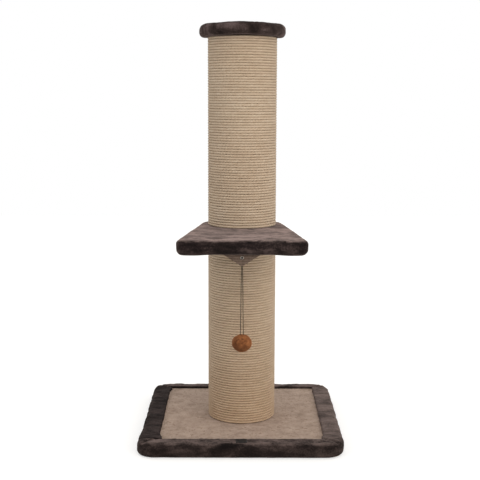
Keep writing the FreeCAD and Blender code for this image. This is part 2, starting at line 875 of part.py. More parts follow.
eyelet_outer = "Sizes.eyelet_bore / 2 + Sizes.eyelet_wall"
flange_edge = "Sizes.eyelet_flange / 2"
inner_face = "Levels.eyelet_long - Sizes.eyelet_flange_thick"
tab_eyelet = turned(
    "tab_eyelet",
    [
        ("Sizes.eyelet_bore / 2", "0"),
        (flange_edge, "0"),
        (flange_edge, "Sizes.eyelet_flange_thick"),
        (eyelet_outer, "Sizes.eyelet_flange_thick"),
        (eyelet_outer, inner_face),
        (flange_edge, inner_face),
        (flange_edge, "Levels.eyelet_long"),
        ("Sizes.eyelet_bore / 2", "Levels.eyelet_long"),
    ],
)
tab_eyelet.Placement.Rotation = FreeCAD.Rotation(FreeCAD.Vector(1, 0, 0), 90)
bind(
    tab_eyelet,
    Placement__Base__y="-Levels.tab_front + Levels.eyelet_long / 2",
    Placement__Base__z="Levels.eyelet_axis",
)
keep(tab_eyelet, "tab_eyelet")

pompom = doc.addObject("Part::Ellipsoid", "pompom")
bind(
    pompom,
    Radius1="Sizes.pompom_high / 2",
    Radius2="Sizes.pompom_wide / 2",
    Radius3="Sizes.pompom_wide / 2",
    Placement__Base__y="-Levels.toy_front",
    Placement__Base__z="Levels.pompom_mid",
)
keep(pompom, "pompom")

knot = doc.addObject("Part::Sphere", "cord_knot")
bind(
    knot,
    Radius="Sizes.knot_across / 2",
    Placement__Base__y="-Levels.knot_front",
    Placement__Base__z="Levels.eyelet_axis",
)
keep(knot, "cord_knot")


def rounded_route(points):
    """Straight runs between points, joined by arcs as large as the runs allow."""
    edges = []
    at = points[0]
    for before, corner, after in zip(points, points[1:], points[2:]):
        coming = (corner - before).normalize()
        going = (after - corner).normalize()
        shorter = min(corner.distanceToPoint(before), corner.distanceToPoint(after))
        trim = BEND_SHARE * shorter
        print(f"cord bend radius {trim / math.tan(coming.getAngle(going) / 2):.2f} mm")
        start, end = corner - coming * trim, corner + going * trim
        edges.append(Part.LineSegment(at, start).toShape())
        edges.append(arc_from(start, coming, end))
        at = end
    edges.append(Part.LineSegment(at, points[-1]).toShape())
    return Part.Wire(edges)


# One cord: from the knot in through the eyelet, down behind the tab, round inside the pompom and back.
pair = (size("cord_thick") + size("cord_pair_gap")) / 2
apart = size("cord_spread") / 2
route = [
    FreeCAD.Vector(-pair, -levels.knot_front, levels.eyelet_axis),
    FreeCAD.Vector(-pair, -levels.toy_front, levels.eyelet_axis),
    FreeCAD.Vector(-apart, -levels.toy_front, levels.pompom_mid),
]
route += [FreeCAD.Vector(-point.x, point.y, point.z) for point in reversed(route)]
path = rounded_route(route)
toy_cord = doc.addObject("Part::Feature", "toy_cord")
toy_cord.Shape = tube_along(path, route[0], route[1] - route[0], size("cord_thick") / 2, path.Length)
keep(toy_cord, "toy_cord")

# Every object has to be sound before anything is written.
doc.recompute()
for thing in doc.Objects:
    if "Invalid" in thing.State or "Error" in thing.State:
        raise RuntimeError(f"{thing.Name} failed: {thing.State}")
for node in nodes:
    if node.Shape.isNull() or not node.Shape.isValid() or not node.Shape.Solids:
        raise RuntimeError(f"{node.Label} has no sound shape")

os.makedirs("parts", exist_ok=True)
for node in nodes:
    node.Shape.exportStep(f"parts/{node.Label}.step")
    print(f"{node.Label}: {len(node.Shape.Solids)} solids, {node.Shape.Volume:.0f} mm3")
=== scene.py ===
from math import cos, pi, radians, sin

import bmesh
import bpy
from mathutils import Matrix, Vector, noise
from mathutils.geometry import intersect_point_line


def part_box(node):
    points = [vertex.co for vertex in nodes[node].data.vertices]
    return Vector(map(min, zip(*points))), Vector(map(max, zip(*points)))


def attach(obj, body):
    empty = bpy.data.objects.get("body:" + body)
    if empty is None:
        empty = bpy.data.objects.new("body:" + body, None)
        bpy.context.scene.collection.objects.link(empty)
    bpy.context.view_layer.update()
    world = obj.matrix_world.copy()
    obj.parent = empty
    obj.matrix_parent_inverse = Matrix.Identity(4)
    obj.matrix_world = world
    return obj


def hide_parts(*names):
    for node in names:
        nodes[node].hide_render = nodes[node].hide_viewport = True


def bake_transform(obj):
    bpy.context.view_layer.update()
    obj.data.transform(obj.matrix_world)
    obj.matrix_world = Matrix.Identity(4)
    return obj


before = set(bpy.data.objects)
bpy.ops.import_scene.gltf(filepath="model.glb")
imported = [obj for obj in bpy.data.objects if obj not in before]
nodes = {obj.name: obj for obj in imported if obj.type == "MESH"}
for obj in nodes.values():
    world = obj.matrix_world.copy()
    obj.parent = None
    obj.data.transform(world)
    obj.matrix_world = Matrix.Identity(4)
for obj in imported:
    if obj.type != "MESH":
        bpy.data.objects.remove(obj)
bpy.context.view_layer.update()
scene = bpy.context.scene
scene.view_settings.view_transform = "Standard"
mm = 0.001
tiny = 1e-6  # metres, within which a vertex counts as on a plane
spare = 5  # mm that a cutter stands past what it cuts
noise.seed_set(7)  # noise vectors would otherwise follow the clock
print("frame loaded:", len(nodes), "nodes")


# sRGB hex to the linear colour that sockets take
def linear(hexColour):
    channels = [int(hexColour[i:i + 2], 16) / 255 for i in (1, 3, 5)]
    return [c / 12.92 if c <= 0.04045 else ((c + 0.055) / 1.055) ** 2.4 for c in channels] + [1]


# one node with its settings, socket values, links and, on a ramp, its colour stops; a Mix node's sockets
# go by number: 0 is its share, 2 and 3 its values, 6 and 7 its colours
def addNode(tree, kind, settings=None, values=None, links=None, stops=()):
    node = tree.nodes.new("ShaderNode" + kind)
    for name, value in (settings or {}).items():
        setattr(node, name, value)
    for name, value in (values or {}).items():
        node.inputs[name].default_value = value
    for name, source in (links or {}).items():
        tree.links.new(source, node.inputs[name])
    for index, (place, colour) in enumerate(stops):
        ramp = node.color_ramp.elements
        stop = ramp[index] if index < 2 else ramp.new(place)
        stop.position = place
        stop.color = linear(colour)
    return node


def newMaterial(name):
    material = bpy.data.materials.new(name)
    material.use_nodes = True
    material.node_tree.nodes.clear()
    return material, material.node_tree


# noise scale that gives lumps of a real size
def perMm(size):
    return 1 / (size * mm)


# wave scale that sets the bands a real distance apart
def perBand(size):
    return pi / 10 * perMm(size)


# a finished piece: mesh at the origin, smooth, on its body, in place of its CAD nodes
def addPiece(name, mesh, material, body, replaced=()):
    mesh.name = name
    mesh.materials.clear()
    mesh.materials.append(material)
    mesh.shade_smooth()
    piece = bpy.data.objects.new(name, mesh)
    scene.collection.objects.link(piece)
    if body:
        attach(piece, body)
    if replaced:
        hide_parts(*replaced)
    return piece


def meshOf(bm):
    mesh = bpy.data.meshes.new("shape")
    bm.to_mesh(mesh)
    bm.free()
    return mesh


def meshOfCurve(data):
    holder = bpy.data.objects.new("curve", data)
    scene.collection.objects.link(holder)
    evaluated = holder.evaluated_get(bpy.context.evaluated_depsgraph_get())
    mesh = bpy.data.meshes.new_from_object(evaluated)
    bpy.data.objects.remove(holder)
    return mesh


# run modifiers on a shape and hand back the result as a new bmesh
def throughModifiers(bm, *modifiers):
    holder = bpy.data.objects.new("shape", meshOf(bm))
    scene.collection.objects.link(holder)
    for kind, settings in modifiers:
        modifier = holder.modifiers.new(kind, kind)
        for name, value in settings.items():
            setattr(modifier, name, value)
    shaped = bmesh.new()
    evaluated = holder.evaluated_get(bpy.context.evaluated_depsgraph_get())
    shaped.from_mesh(evaluated.to_mesh())
    bpy.data.objects.remove(holder)
    return shaped


# even out a shape's mesh to faces of one size, in mm
def remeshed(bm, size):
    return throughModifiers(bm, ("REMESH", {"mode": "VOXEL", "voxel_size": size * mm}))


# cut other shapes out of a shape
def carve(bm, cutters):
    tools = []
    for cutter in cutters:
        tool = bpy.data.objects.new("cutter", meshOf(cutter))
        scene.collection.objects.link(tool)
        tools.append(tool)
    cuts = [("BOOLEAN", {"operation": "DIFFERENCE", "object": tool, "solver": "EXACT"}) for tool in tools]
    carved = throughModifiers(bm, *cuts)
    for tool in tools:
        bpy.data.objects.remove(tool)
    return carved


# cut a shape flat at a plane, and close the cut
def cutFlat(bm, place, away):
    geom = bm.verts[:] + bm.edges[:] + bm.faces[:]
    cut = bmesh.ops.bisect_plane(bm, geom=geom, plane_co=place, plane_no=away, clear_outer=True)
    rim = [item for item in cut["geom_cut"] if isinstance(item, bmesh.types.BMEdge)]
    bmesh.ops.holes_fill(bm, edges=rim)
    bmesh.ops.recalc_face_normals(bm, faces=bm.faces[:])


def edgesWhere(bm, test):
    return [edge for edge in bm.edges if all(test(v.co) for v in edge.verts)]


def roundEdges(bm, edges, radius, segments):
    bmesh.ops.bevel(
        bm, geom=edges, offset=radius * mm, segments=segments, profile=0.5, affect="EDGES", material=-1,
        clamp_overlap=True,
    )


# an upright block on a flat outline, with rounded corners and rims, all in mm
def softBlock(outline, low, high, cornerRound=0, topRound=0, underRound=0, backRound=0):
    low, high = low * mm, high * mm
    bm = bmesh.new()
    face = bm.faces.new([bm.verts.new((x * mm, y * mm, low)) for x, y in outline])
    top = bmesh.ops.extrude_face_region(bm, geom=[face])["geom"]
    lifted = [item for item in top if isinstance(item, bmesh.types.BMVert)]
    bmesh.ops.translate(bm, verts=lifted, vec=(0, 0, high - low))
    bmesh.ops.recalc_face_normals(bm, faces=bm.faces[:])
    corners = [e for e in bm.edges if abs(e.verts[0].co.z - e.verts[1].co.z) > (high - low) / 2]
    behind = [e for e in corners if e.verts[0].co.y > 0 and backRound]
    if behind:
        roundEdges(bm, behind, backRound, segments=16)
        corners = [e for e in corners if e.is_valid]
    if cornerRound:
        roundEdges(bm, corners, cornerRound, segments=8)
    if topRound:
        roundEdges(bm, edgesWhere(bm, lambda co: co.z > high - tiny), topRound, segments=6)
    if underRound:
        roundEdges(bm, edgesWhere(bm, lambda co: co.z < low + tiny), underRound, segments=5)
    return bm


# an upright cylinder about the posts' axis, in mm
def cylinder(radius, low, high, segments):
    bm = bmesh.new()
    bmesh.ops.create_cone(
        bm, cap_ends=True, segments=segments, radius1=radius * mm, radius2=radius * mm,
        depth=(high - low) * mm,
    )
    bmesh.ops.translate(bm, verts=bm.verts[:], vec=(0, 0, (low + high) / 2 * mm))
    return bm


def square(half):
    return [(-half, -half), (half, -half), (half, half), (-half, half)]


def middleOf(node):
    low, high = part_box(node)
    return (Vector(low) + Vector(high)) / 2


# camera at the photograph's height and distance
view = {"lens": 72.03, "sensor": 36, "place": (-0.0045, -2.2426, 0.7915), "pitch": 8.59, "roll": 0.16}
cameraData = bpy.data.cameras.new("camera")
cameraData.lens = view["lens"]
cameraData.sensor_width = view["sensor"]
camera = bpy.data.objects.new("camera", cameraData)
camera.location = view["place"]
pitched = Matrix.Rotation(radians(90 - view["pitch"]), 4, "X")
rolled = Matrix.Rotation(radians(view["roll"]), 4, "Z")
camera.rotation_euler = (pitched @ rolled).to_euler()
scene.collection.objects.link(camera)
scene.camera = camera

# soft studio light: an even white room, and a broad key from the right, in front and above
light = {
    "front": 1.1, "back": 0.5, "key": 0.85, "keyAngle": 50, "keyTurn": (73, 0, 40), "keyColour": "#fff6ec",
}


# 1 for the rays that show the stage itself: straight from the camera, mirrored or let through
def seenRays(tree):
    rays = addNode(tree, "LightPath").outputs
    seen = rays["Is Camera Ray"]
    for kind in ("Is Glossy Ray", "Is Transmission Ray"):
        seen = addNode(tree, "Math", {"operation": "MAXIMUM"}, links={0: seen, 1: rays[kind]}).outputs[0]
    return seen


world = bpy.data.worlds.new("studio")
world.use_nodes = True
tree = world.node_tree
tree.nodes.clear()
# brighter in front than behind, and plain white where it is seen
way = addNode(tree, "TexCoord")
way = addNode(tree, "SeparateXYZ", links={"Vector": way.outputs["Generated"]})
level = addNode(
    tree, "MapRange", values={"From Min": -1, "To Min": light["front"], "To Max": light["back"]},
    links={"Value": way.outputs["Y"]},
)
level = addNode(
    tree, "Mix", {"data_type": "FLOAT"}, {3: 1.0}, {0: seenRays(tree), 2: level.outputs[0]},
)
room = addNode(tree, "Background", values={"Color": (1, 1, 1, 1)}, links={"Strength": level.outputs[0]})
addNode(tree, "OutputWorld", links={"Surface": room.outputs[0]})
scene.world = world

keyData = bpy.data.lights.new("key", "SUN")
keyData.energy = light["key"]
keyData.angle = radians(light["keyAngle"])
keyData.color = linear(light["keyColour"])[:3]
key = bpy.data.objects.new("key", keyData)
key.rotation_euler = [radians(a) for a in light["keyTurn"]]
scene.collection.objects.link(key)

# pale floor: the camera sees it white, with the object's soft shadow
floorLook = {"side": 8.0, "colour": "#d8d6d3", "glow": 0.54}
floorMaterial, tree = newMaterial("pale floor")
paint = addNode(tree, "BsdfDiffuse", values={"Color": linear(floorLook["colour"])})
level = addNode(tree, "Math", {"operation": "MULTIPLY"}, {1: floorLook["glow"]}, {0: seenRays(tree)})
glow = addNode(tree, "Emission", values={"Color": (1, 1, 1, 1)}, links={"Strength": level.outputs[0]})
both = addNode(tree, "AddShader", links={0: paint.outputs[0], 1: glow.outputs[0]})
addNode(tree, "OutputMaterial", links={"Surface": both.outputs[0]})
floorShape = bmesh.new()
bmesh.ops.create_grid(floorShape, x_segments=1, y_segments=1, size=floorLook["side"] / 2)
floor = bpy.data.objects.new("floor", meshOf(floorShape))
floor.data.materials.append(floorMaterial)
scene.collection.objects.link(floor)
print("stage set")

# toy cord: one black elastic cord, doubled, from the knot through the eyelet and down behind the tab
# to the pompom
toyCord = {
    "route": [
        (-0.9, -237.15, 450), (-0.9, -228.2, 450), (-1.02, -228.2, 441), (-3.31, -228.2, 269.3),
        (-3.4, -228.2, 262.5), (3.4, -228.2, 262.5), (3.31, -228.2, 269.3), (1.02, -228.2, 441),
        (0.9, -228.2, 450), (0.9, -237.15, 450),
    ],
    "diameter": 1.5, "length": 0.394, "colour": "#0f0a07", "thread": "#241b14", "threadMm": 0.8,
}
# elastic cord in a braided sleeve: dull black, with the braid's fine slanting threads
cordMaterial, tree = newMaterial("braided elastic")
place = addNode(tree, "TexCoord").outputs["Object"]
braid = addNode(
    tree, "TexWave", {"bands_direction": "DIAGONAL"},
    {"Scale": perBand(toyCord["threadMm"]), "Distortion": 1.5}, {"Vector": place},
)
tone = addNode(
    tree, "ValToRGB", links={"Fac": braid.outputs["Fac"]},
    stops=[(0.2, toyCord["colour"]), (0.8, toyCord["thread"])],
)
bump = addNode(
    tree, "Bump", values={"Strength": 0.4, "Distance": 0.1 * mm}, links={"Height": braid.outputs["Fac"]},
)
surface = addNode(
    tree, "BsdfPrincipled", values={"Roughness": 0.8, "Specular IOR Level": 0.2},
    links={"Base Color": tone.outputs["Color"], "Normal": bump.outputs["Normal"]},
)
addNode(tree, "OutputMaterial", links={"Surface": surface.outputs[0]})

cordData = bpy.data.curves.new("cord_loop", "CURVE")
cordData.dimensions = "3D"
cordLine = cordData.splines.new("NURBS")
cordLine.points.add(len(toyCord["route"]) - 1)
for point, (x, y, z) in zip(cordLine.points, toyCord["route"]):
    point.co = (x * mm, y * mm, z * mm, 1)
cordLine.order_u = 3
cordLine.use_endpoint_u = True
cordData.resolution_u = 16
cordData.bevel_depth = toyCord["diameter"] / 2 * mm
cordData.bevel_resolution = 3
cordData.use_fill_caps = True
cordData.materials.append(cordMaterial)
cordLoop = bpy.data.objects.new("cord_loop", cordData)
scene.collection.objects.link(cordLoop)
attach(cordLoop, "toy")
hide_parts("toy_cord")

# the knot in front of the eyelet, an overhand knot pulled tight
knotLook = {"steps": 72, "reach": 1.75, "thick": 0.72, "depth": 1.2}
knotMiddle = middleOf("cord_knot")
knotData = bpy.data.curves.new("knot", "CURVE")
knotData.dimensions = "3D"
knotLine = knotData.splines.new("POLY")
knotLine.points.add(knotLook["steps"] - 1)
knotLine.use_cyclic_u = True
for index, point in enumerate(knotLine.points):
    a = 2 * pi * index / knotLook["steps"]
    # a trefoil, which reaches three units from its middle
    turn = Vector((sin(a) + 2 * sin(2 * a), -knotLook["depth"] * sin(3 * a), cos(a) - 2 * cos(2 * a)))
    point.co = (*(knotMiddle + turn * knotLook["reach"] / 3 * mm), 1)
knotData.bevel_depth = knotLook["thick"] * mm
knotData.bevel_resolution = 2
knot = addPiece("overhand_knot", meshOfCurve(knotData), cordMaterial, "toy", ["cord_knot"])

# pompom: a felted wool ball, rust brown, with a few creases where the cord draws it in
pompomLook = {
    "wide": 43, "high": 38, "lumpMm": 9, "lump": 0.9, "tuftMm": 3, "tuft": 0.45,
    "dimples": [
        (-0.16, 0, 1.0), (0.16, 0, 1.0), (-0.64, -0.76, 0.05), (-0.66, -0.72, 0.2), (-0.6, -0.7, 0.36),
        (-0.5, -0.68, 0.52), (-0.36, -0.68, 0.64), (0.04, -0.72, 0.68),
    ],
    # painted shade: the felt is darkened underneath, on the left and in the dimples
    "dimpleMm": 3.2, "dimple": 1.5, "creaseShade": 0.8, "shadeLevel": 0.37, "shadeWay": (-0.24, 0, -0.42),
    "paintedShade": "#3a1e0f", "dark": "#5b341c", "mid": "#86522f", "light": "#ae7043", "sheen": "#d08a55",
    "patchMm": 8, "fibreMm": 1.2,
}
# felted wool: matt, soft-edged, with short fibres that lighten the rim
pompomMaterial, tree = newMaterial("felted wool")
place = addNode(tree, "TexCoord").outputs["Object"]
patch = addNode(
    tree, "TexNoise", values={"Scale": perMm(pompomLook["patchMm"]), "Detail": 4, "Roughness": 0.65},
    links={"Vector": place},
)
fibre = addNode(
    tree, "TexNoise", values={"Scale": perMm(pompomLook["fibreMm"]), "Detail": 3, "Distortion": 1.2},
    links={"Vector": place},
)
mixed = addNode(
    tree, "Mix", {"data_type": "FLOAT"}, {0: 0.4}, {2: patch.outputs["Fac"], 3: fibre.outputs["Fac"]},
)
tone = addNode(
    tree, "ValToRGB", links={"Fac": mixed.outputs[0]},
    stops=[(0.36, pompomLook["dark"]), (0.66, pompomLook["light"]), (0.5, pompomLook["mid"])],
)
# painted shade: the wool is painted darker in the creases, underneath and on the left
shadeShare = addNode(tree, "Attribute", {"attribute_name": "shadeShare"})
tone = addNode(
    tree, "Mix", {"data_type": "RGBA"}, {7: linear(pompomLook["paintedShade"])},
    {0: shadeShare.outputs["Fac"], 6: tone.outputs["Color"]},
)
bump = addNode(
    tree, "Bump", values={"Strength": 0.6, "Distance": 0.5 * mm}, links={"Height": fibre.outputs["Fac"]},
)
surface = addNode(
    tree, "BsdfPrincipled",
    values={
        "Roughness": 0.95, "Specular IOR Level": 0.2, "Sheen Weight": 0.7, "Sheen Roughness": 0.4,
        "Sheen Tint": linear(pompomLook["sheen"]),
    },
    links={"Base Color": tone.outputs[2], "Normal": bump.outputs["Normal"]},
)
addNode(tree, "OutputMaterial", links={"Surface": surface.outputs[0]})

ballMiddle = middleOf("pompom")
halfWide, halfHigh = pompomLook["wide"] / 2, pompomLook["high"] / 2
ball = bmesh.new()
bmesh.ops.create_icosphere(ball, subdivisions=5, radius=0.5)
paintedShade = ball.verts.layers.float.new("shadeShare")
for v in ball.verts:
    way = v.co.normalized()
    rise = noise.noise(way * halfWide / pompomLook["lumpMm"]) * pompomLook["lump"]
    rise += noise.noise(way * halfWide / pompomLook["tuftMm"]) * pompomLook["tuft"]
    # painted shade: the felt is painted darker underneath and on the left
    v[paintedShade] = max(0, pompomLook["shadeLevel"] + way.dot(Vector(pompomLook["shadeWay"])))
    for dimple in pompomLook["dimples"]:
        near = (way - Vector(dimple).normalized()).length * halfWide / pompomLook["dimpleMm"]
        # painted shade in the dimples
        v[paintedShade] = max(v[paintedShade], pompomLook["creaseShade"] * max(0, 1 - near * near))
        rise -= pompomLook["dimple"] * max(0, 1 - near * near) ** 2
    v.co = Vector((way.x * halfWide, way.y * halfWide, way.z * halfHigh))
    v.co = ballMiddle + (v.co + way * rise) * mm
pompom = addPiece("felt_pompom", meshOf(ball), pompomMaterial, "toy", ["pompom"])
print("toy hung")

# sisal rope: twisted plant fibre, straw coloured, dry and rough, with painted shade in the lay's grooves
sisal = {
    "light": "#dccbb5", "mid": "#c9b399", "dark": "#b0977e", "grooveShade": "#9c8369", "floorShade": "#ebe0d5",
    "strands": 3, "lengthMm": 11620, "girthMm": 18, "fibreMm": 0.9, "fibreLongMm": 11, "patchMm": 40,
    "stainMm": 220, "floorShadeLowMm": 30, "floorShadeHighMm": 300,
}
sisalMaterial, tree = newMaterial("sisal rope")
place = addNode(tree, "TexCoord")
# the rope's own map, along it and round it; fibres are drawn coarser than real ones to show
fibreMap = addNode(
    tree, "Mapping",
    values={"Scale": (sisal["lengthMm"] / sisal["fibreLongMm"], sisal["girthMm"] / sisal["fibreMm"], 1)},
    links={"Vector": place.outputs["UV"]},
)
fibre = addNode(
    tree, "TexNoise", values={"Scale": 1, "Detail": 3, "Roughness": 0.6},
    links={"Vector": fibreMap.outputs[0]},
)
patchMap = addNode(
    tree, "Mapping", values={"Scale": (sisal["lengthMm"] / sisal["patchMm"], 1, 1)},
    links={"Vector": place.outputs["UV"]},
)
patch = addNode(
    tree, "TexNoise", values={"Scale": 1, "Detail": 4, "Roughness": 0.7},
    links={"Vector": patchMap.outputs[0]},
)
stain = addNode(
    tree, "TexNoise", values={"Scale": perMm(sisal["stainMm"]), "Detail": 2},
    links={"Vector": place.outputs["Object"]},
)
mixed = addNode(
    tree, "Mix", {"data_type": "FLOAT"}, {0: 0.45}, {2: patch.outputs["Fac"], 3: fibre.outputs["Fac"]},
)
mixed = addNode(
    tree, "Mix", {"data_type": "FLOAT"}, {0: 0.25}, {2: mixed.outputs[0], 3: stain.outputs["Fac"]},
)
tone = addNode(
    tree, "ValToRGB", links={"Fac": mixed.outputs[0]},
    stops=[(0.3, sisal["dark"]), (0.68, sisal["light"]), (0.5, sisal["mid"])],
)
# painted shade in the lay's grooves: round the girth, the map's second axis passes one groove for each
# strand
around = addNode(tree, "SeparateXYZ", links={"Vector": place.outputs["UV"]})
lay = addNode(
    tree, "Math", {"operation": "MULTIPLY"}, {1: 2 * pi * sisal["strands"]}, {0: around.outputs["Y"]},
)
lay = addNode(tree, "Math", {"operation": "COSINE"}, links={0: lay.outputs[0]})
grooveShadeShare = addNode(
    tree, "MapRange", values={"From Min": 0.2, "From Max": 1.0, "To Min": 0.0, "To Max": 0.3},
    links={"Value": lay.outputs[0]},
)
tone = addNode(
    tree, "Mix", {"data_type": "RGBA"}, {7: linear(sisal["grooveShade"])},
    {0: grooveShadeShare.outputs[0], 6: tone.outputs["Color"]},
)
# painted shade: the rope is painted browner and darker towards the floor
spot = addNode(tree, "SeparateXYZ", links={"Vector": place.outputs["Object"]})
floorShade = addNode(
    tree, "MapRange",
    values={
        "From Min": sisal["floorShadeLowMm"] * mm, "From Max": sisal["floorShadeHighMm"] * mm, "To Min": 1.0,
        "To Max": 0.0,
    },
    links={"Value": spot.outputs["Z"]},
)
tone = addNode(
    tree, "Mix", {"data_type": "RGBA", "blend_type": "MULTIPLY"}, {7: linear(sisal["floorShade"])},
    {0: floorShade.outputs[0], 6: tone.outputs[2]},
)
bump = addNode(
    tree, "Bump", values={"Strength": 0.5, "Distance": 0.4 * mm}, links={"Height": fibre.outputs["Fac"]},
)
surface = addNode(
    tree, "BsdfPrincipled",
    values={"Roughness": 0.88, "Specular IOR Level": 0.25, "Sheen Weight": 0.08, "Sheen Roughness": 0.6},
    links={"Base Color": tone.outputs[2], "Normal": bump.outputs["Normal"]},
)
addNode(tree, "OutputMaterial", links={"Surface": surface.outputs[0]})

# slipSeed picks where the rope's lay slips; climb is the share of a turn that steps up a row
winding = {
    "lengths": 3, "loops": 24, "ringMm": 76.5, "ropeMm": 6.7, "seatMm": 3.2, "steps": 220, "layMm": 23.93,
    "waist": 0.88, "wobbleMm": 0.18, "wobbleOut": 0.6, "wobbleRound": 1.4, "wobbleStep": 0.618,
    "slipMm": 90, "slip": 2.5, "slipSeed": (3, 5), "climb": 0.16,
}
# section of the rope: each strand has a crest and two flanks
section = bpy.data.curves.new("rope_section", "CURVE")
section.dimensions = "2D"
sectionLine = section.splines.new("POLY")
sectionLine.use_cyclic_u = True
sectionLine.points.add(3 * sisal["strands"] - 1)
for index, point in enumerate(sectionLine.points):
    reach = winding["ropeMm"] / 2 * (1 if index % 3 == 1 else winding["waist"]) * mm
    a = -2 * pi * index / (3 * sisal["strands"])
    point.co = (reach * cos(a), reach * sin(a), 0, 1)
sectionHolder = bpy.data.objects.new("rope_section", section)
scene.collection.objects.link(sectionHolder)


# one length of rope round a post, clockwise seen from above: each turn lies level and climbs to the next
# at the back
def windRope(name, post, index):
    low, high = (corner[2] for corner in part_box(post + "_rope"))
    first = low + winding["seatMm"] * mm
    rows = winding["lengths"] * winding["loops"]
    pitch = (high - low - 2 * winding["seatMm"] * mm) / (rows - 1)
    count = winding["loops"] * winding["steps"] + 1
    around = 2 * pi * winding["ringMm"]
    places, tilts = [], []
    for step in range(count):
        turn = winding["loops"] * index + step / winding["steps"]
        a = pi / 2 - 2 * pi * turn
        spot = (
            cos(a) * winding["wobbleRound"], sin(a) * winding["wobbleRound"],
            turn * winding["wobbleStep"] + index,
        )
        uneven = noise.noise(spot) * winding["wobbleMm"] * mm
        reach = winding["ringMm"] * mm + uneven * winding["wobbleOut"]
        climbed = max(0, (turn % 1 - 1) / winding["climb"] + 1)
        row = min(rows - 1, int(turn) + climbed * climbed * (3 - 2 * climbed))
        places += [reach * cos(a), reach * sin(a), first + pitch * row + uneven, 1]
        slip = noise.noise((turn * around / winding["slipMm"], *winding["slipSeed"])) * winding["slip"]
        tilts.append(-2 * pi * turn * around / winding["layMm"] + slip)
    data = bpy.data.curves.new(name, "CURVE")
    data.dimensions = "3D"
    data.twist_mode = "Z_UP"
    line = data.splines.new("POLY")
    line.points.add(count - 1)
    line.points.foreach_set("co", places)
    line.points.foreach_set("tilt", tilts)
    data.bevel_mode = "OBJECT"
    data.bevel_object = sectionHolder
    data.use_fill_caps = True
    addPiece(name, meshOfCurve(data), sisalMaterial, "stand", [post + "_rope"])


for post in ("lower", "upper"):
    for index in range(winding["lengths"]):
        windRope(f"{post}_winding_{index + 1}", post, index)
bpy.data.objects.remove(sectionHolder)
print("posts wound")

# short-pile plush: polyester fur about 5 mm long, matt and dark head-on, pale where the eye grazes the tips;
# the tone of faces that look up is painted light, and painted shade on the cap, and grain scales the brushed
# patches
plush = {
    "patchMm": 42, "streakMm": 16, "pileMm": 2.2, "across": 0.45, "sheenTint": "#c9b3ab",
    "naps": {
        "brushed": {
            "dark": "#120d0c", "mid": "#241c1a", "light": "#4a3e3a", "paintedTop": "#6b5c57",
            "sheen": 0.4, "grain": 1,
        },
        # the cap's faces that look up are painted darker, as painted shade
        "stroked round": {
            "dark": "#1e1715", "mid": "#3a2f2c", "light": "#605250", "paintedTop": "#2c2422",
            "sheen": 0.25, "grain": 1,
        },
        "stroked flat": {
            "dark": "#130e0d", "mid": "#251d1c", "light": "#4a3e3b", "paintedTop": "#8f7c76",
            "sheen": 0.55, "grain": 0.6,
        },
        # painted shade and painted light: the left strip's copy is painted darker and the right strip's
        # lighter, as light and the nap's sheen fall on them
        "painted shade nap": {
            "dark": "#0c0807", "mid": "#181211", "light": "#3a312f", "paintedTop": "#403634",
            "sheen": 0.1, "grain": 1,
        },
        "painted light nap": {
            "dark": "#403734", "mid": "#504541", "light": "#625550", "paintedTop": "#766761",
            "sheen": 0.4, "grain": 1,
        },
    },
}


def plushMaterial(name, nap):
    material, tree = newMaterial(name)
    place = addNode(tree, "TexCoord").outputs["Object"]
    # brushed patches, longer across the piece than along it
    brushed = addNode(
        tree, "Mapping", values={"Scale": (plush["across"], 1, 1)}, links={"Vector": place},
    )
    patch = addNode(
        tree, "TexNoise",
        values={
            "Scale": perMm(plush["patchMm"] * nap["grain"]), "Detail": 3, "Roughness": 0.55,
            "Distortion": 0.8,
        },
        links={"Vector": brushed.outputs[0]},
    )
    streak = addNode(
        tree, "TexNoise",
        values={"Scale": perMm(plush["streakMm"] * nap["grain"]), "Detail": 4, "Distortion": 0.5},
        links={"Vector": brushed.outputs[0]},
    )
    pile = addNode(
        tree, "TexNoise", values={"Scale": perMm(plush["pileMm"]), "Detail": 2}, links={"Vector": place},
    )
    mixed = addNode(
        tree, "Mix", {"data_type": "FLOAT"}, {0: 0.4}, {2: patch.outputs["Fac"], 3: streak.outputs["Fac"]},
    )
    mixed = addNode(
        tree, "Mix", {"data_type": "FLOAT"}, {0: 0.25}, {2: mixed.outputs[0], 3: pile.outputs["Fac"]},
    )
    tone = addNode(
        tree, "ValToRGB", links={"Fac": mixed.outputs[0]},
        stops=[(0.4, nap["dark"]), (0.62, nap["light"]), (0.5, nap["mid"])],
    )
    # painted light: where a face looks up it is painted in a paler tone, in streaks; on the cap that tone is
    # darker, as painted shade
    facing = addNode(tree, "NewGeometry")
    upward = addNode(tree, "SeparateXYZ", links={"Vector": facing.outputs["Normal"]})
    flat = addNode(
        tree, "MapRange", values={"From Min": 0.55, "From Max": 0.98}, links={"Value": upward.outputs["Z"]},
    )
    paintedTopTone = addNode(
        tree, "ValToRGB", links={"Fac": mixed.outputs[0]}, stops=[(0.43, nap["dark"]), (0.57, nap["paintedTop"])],
    )
    tone = addNode(
        tree, "Mix", {"data_type": "RGBA"},
        links={0: flat.outputs[0], 6: tone.outputs["Color"], 7: paintedTopTone.outputs["Color"]},
    )
    height = addNode(
        tree, "Mix", {"data_type": "FLOAT"}, {0: 0.5}, {2: streak.outputs["Fac"], 3: pile.outputs["Fac"]},
    )
    bump = addNode(
        tree, "Bump", values={"Strength": 0.7, "Distance": 1.2 * mm}, links={"Height": height.outputs[0]},
    )
    surface = addNode(
        tree, "BsdfPrincipled",
        values={
            "Roughness": 0.95, "Specular IOR Level": 0.1, "Sheen Weight": nap["sheen"],
            "Sheen Roughness": 0.35, "Sheen Tint": linear(plush["sheenTint"]),
        },
        links={"Base Color": tone.outputs[2], "Normal": bump.outputs["Normal"]},
    )
    addNode(tree, "OutputMaterial", links={"Surface": surface.outputs[0]})
    return material


